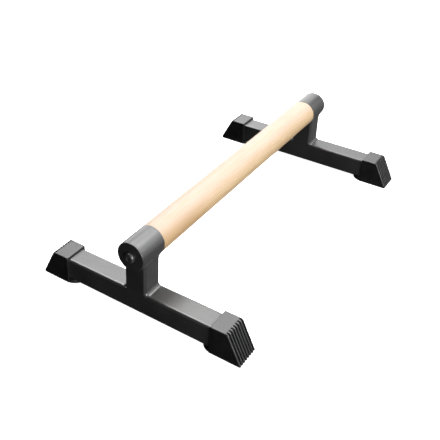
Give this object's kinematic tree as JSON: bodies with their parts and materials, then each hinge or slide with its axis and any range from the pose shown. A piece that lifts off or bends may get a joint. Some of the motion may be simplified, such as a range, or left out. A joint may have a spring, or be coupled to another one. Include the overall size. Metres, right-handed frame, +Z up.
{
  "type": "parallette bar",
  "caption": "Low parallette bar: a round wooden grip clamped between welded steel stands with square-tube bases and ribbed rubber feet.",
  "frame": {"origin": "on the floor, under the middle of the grip", "axes": "+Y along the grip, +X along the two base rails, +Z up"},
  "size_m": [0.294, 0.508, 0.11],
  "materials": {
    "beech": "fine sanded, bare",
    "powder_coat": "satin charcoal powder coat",
    "coated_weld": "weld bead under the same powder coat",
    "black_bolt": "black oxide",
    "insert_metal": "zinc plated",
    "foot_rubber": "matte moulded"
  },
  "bodies": {
    "root": {"wooden_bar": "beech", "front_base_rail": "powder_coat", "rear_base_rail": "powder_coat", "front_post": "powder_coat", "rear_post": "powder_coat", "front_socket_tube": "powder_coat", "rear_socket_tube": "powder_coat", "front_socket_disc": "powder_coat", "rear_socket_disc": "powder_coat", "front_base_weld": "coated_weld", "rear_base_weld": "coated_weld", "front_socket_weld": "coated_weld", "rear_socket_weld": "coated_weld", "front_clamp_bolt": "black_bolt", "rear_clamp_bolt": "black_bolt", "front_thread_insert": "insert_metal", "rear_thread_insert": "insert_metal", "front_left_foot": "foot_rubber", "front_right_foot": "foot_rubber", "rear_left_foot": "foot_rubber", "rear_right_foot": "foot_rubber"}
  },
  "joints": []
}
